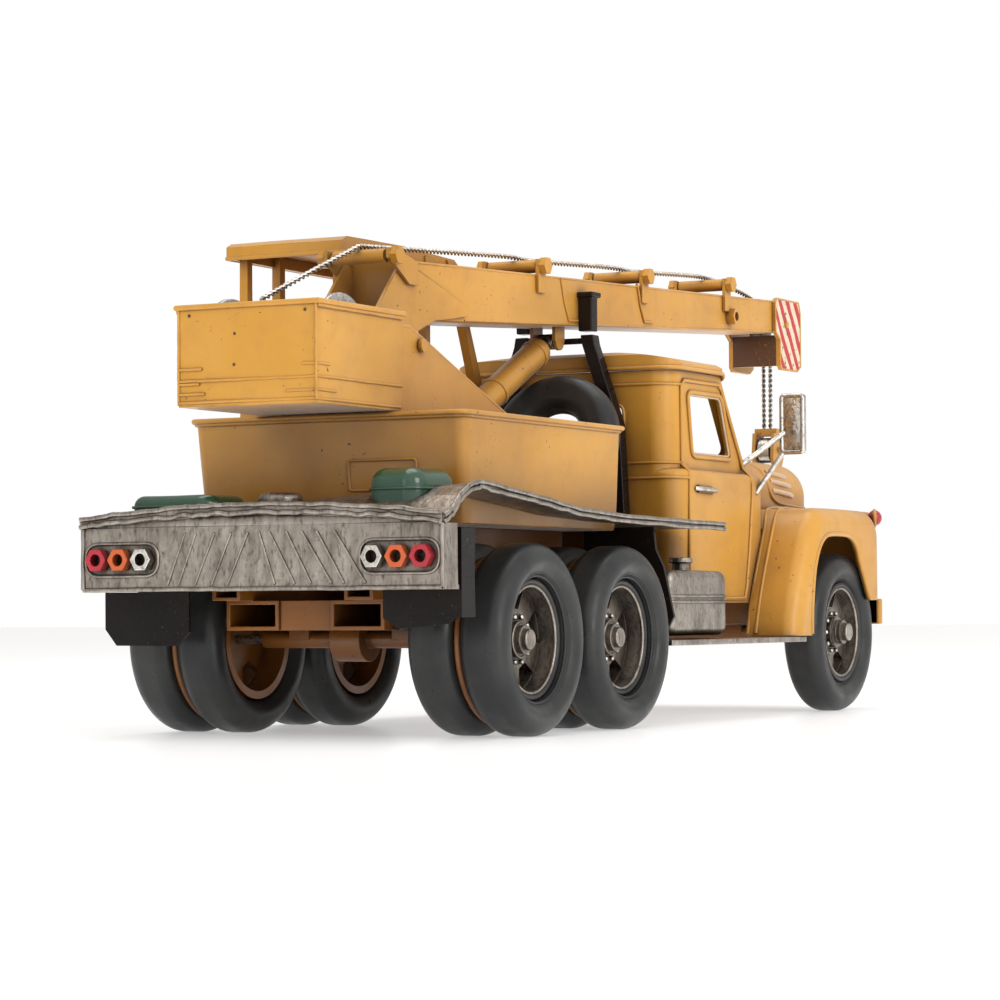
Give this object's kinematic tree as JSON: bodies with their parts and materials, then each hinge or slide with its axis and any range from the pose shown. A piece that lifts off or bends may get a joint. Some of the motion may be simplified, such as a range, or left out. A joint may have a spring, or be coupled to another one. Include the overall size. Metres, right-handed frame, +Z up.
{
  "type": "toy crane truck",
  "caption": "Toy crane lorry in sheet metal with rolling wheels, a slewing crane, a luffing box boom with lift cylinder, cable rollers, winch drum and hanging hook.",
  "frame": {"origin": "middle of the whole model's footprint, on the ground", "axes": "+X towards the front bumper, +Y towards the truck's left, +Z up"},
  "size_m": [0.438, 0.146, 0.1827],
  "materials": {
    "yellow_paint": "aged mustard enamel, brown in the creases",
    "orange_paint": "dull orange enamel",
    "pewter": "antiqued dark pewter",
    "black_paint": "gloss black with worn edges",
    "tyre": "smooth satin rubber",
    "green_paint": "gloss dark green",
    "red_paint": "gloss red",
    "amber_paint": "gloss amber",
    "bright_steel": "bright, slightly worn",
    "steel_cable": "twisted wire, slightly rusted"
  },
  "bodies": {
    "chassis": {"frame_rails": "orange_paint", "subframe": "orange_paint", "axle_housings": "orange_paint", "deck": "pewter", "rear_bumper": "pewter", "lamp_nuts_red": "red_paint", "lamp_nuts_orange": "amber_paint", "lamp_nuts_silver": "bright_steel", "lockers": "green_paint", "deck_cap": "pewter", "mud_flaps": "black_paint", "tub": "yellow_paint", "slew_pedestal": "orange_paint", "spare_tyre": "tyre", "boom_rest": "black_paint", "cab_shell": "yellow_paint", "cab_roof": "yellow_paint", "hood": "yellow_paint", "fenders": "yellow_paint", "running_boards": "pewter", "front_bumper": "yellow_paint", "grille": "pewter", "headlamps": "bright_steel", "fuel_tank": "pewter", "mirrors": "bright_steel", "fender_lamps": "red_paint"},
    "rear_wheels": {"rear_axle_rod": "bright_steel", "rear_tyres": "tyre", "rear_outer_rims": "pewter", "rear_inner_rims": "orange_paint"},
    "middle_wheels": {"middle_axle_rod": "bright_steel", "middle_tyres": "tyre", "middle_outer_rims": "pewter", "middle_inner_rims": "orange_paint"},
    "front_wheels": {"front_axle_rod": "bright_steel", "front_tyres": "tyre", "front_rims": "pewter"},
    "superstructure": {"turntable": "orange_paint", "slew_frame": "yellow_paint", "counterweight_box": "yellow_paint", "operator_cab": "yellow_paint", "cable_span": "steel_cable"},
    "winch": {"winch_drum": "bright_steel", "drum_cable": "steel_cable"},
    "boom": {"boom_beam": "yellow_paint", "boom_head": "yellow_paint", "boom_ears": "black_paint", "roller_brackets": "yellow_paint", "cable_run": "steel_cable"},
    "roller_1": {"cable_roller_1": "yellow_paint"},
    "roller_2": {"cable_roller_2": "yellow_paint"},
    "roller_3": {"cable_roller_3": "yellow_paint"},
    "roller_4": {"cable_roller_4": "yellow_paint"},
    "head_sheave": {"head_sheave": "bright_steel"},
    "lift_rod": {"lift_rod": "bright_steel"},
    "lift_barrel": {"lift_barrel": "yellow_paint"},
    "hook": {"hoist_falls": "steel_cable", "hook_block": "yellow_paint", "hook_sheave": "bright_steel", "hook": "yellow_paint"}
  },
  "joints": [
    {"name": "rear_wheel_spin", "type": "hinge", "parent": "chassis", "child": "rear_wheels", "pos_m": [-0.151, 0, 0.032], "axis": [0, 1, 0], "continuous": true},
    {"name": "middle_wheel_spin", "type": "hinge", "parent": "chassis", "child": "middle_wheels", "pos_m": [-0.0823, 0, 0.032], "axis": [0, 1, 0], "continuous": true},
    {"name": "front_wheel_spin", "type": "hinge", "parent": "chassis", "child": "front_wheels", "pos_m": [0.1259, 0, 0.032], "axis": [0, 1, 0], "continuous": true},
    {"name": "slew", "type": "hinge", "parent": "chassis", "child": "superstructure", "pos_m": [-0.1097, 0, 0.095], "axis": [0, 0, 1], "range_deg": [0, 110]},
    {"name": "winch_spin", "type": "hinge", "parent": "superstructure", "child": "winch", "pos_m": [-0.195, 0, 0.1285], "axis": [0, 1, 0], "continuous": true},
    {"name": "luff", "type": "hinge", "parent": "superstructure", "child": "boom", "pos_m": [-0.151, 0, 0.131], "axis": [0, -1, 0], "range_deg": [0, 40], "deforming": ["cable_span"]},
    {"name": "roller_1_spin", "type": "hinge", "parent": "boom", "child": "roller_1", "pos_m": [-0.146, 0, 0.163], "axis": [0, 1, 0], "continuous": true},
    {"name": "roller_2_spin", "type": "hinge", "parent": "boom", "child": "roller_2", "pos_m": [-0.0322, 0, 0.17], "axis": [0, 1, 0], "continuous": true},
    {"name": "roller_3_spin", "type": "hinge", "parent": "boom", "child": "roller_3", "pos_m": [0.0583, 0, 0.1742], "axis": [0, 1, 0], "continuous": true},
    {"name": "roller_4_spin", "type": "hinge", "parent": "boom", "child": "roller_4", "pos_m": [0.14, 0, 0.1782], "axis": [0, 1, 0], "continuous": true},
    {"name": "head_sheave_spin", "type": "hinge", "parent": "boom", "child": "head_sheave", "pos_m": [0.202, 0, 0.1659], "axis": [0, 1, 0], "continuous": true},
    {"name": "hook_swing", "type": "hinge", "parent": "boom", "child": "hook", "pos_m": [0.209, 0, 0.1582], "axis": [0, 1, 0], "range_deg": [-20, 40]},
    {"name": "lift_rod_pivot", "type": "hinge", "parent": "boom", "child": "lift_rod", "pos_m": [-0.005, 0, 0.144], "axis": [0, -1, 0], "range_deg": [0, 6.5]},
    {"name": "lift_extend", "type": "slide", "parent": "lift_rod", "child": "lift_barrel", "axis": [-0.8944, 0, -0.4472], "range_m": [0, 0.046]}
  ],
  "couplings": [
    {"joint": "lift_rod_pivot", "follows": "luff", "ratio": 0.152},
    {"joint": "lift_extend", "follows": "luff", "m_per_rad": 0.0649}
  ]
}
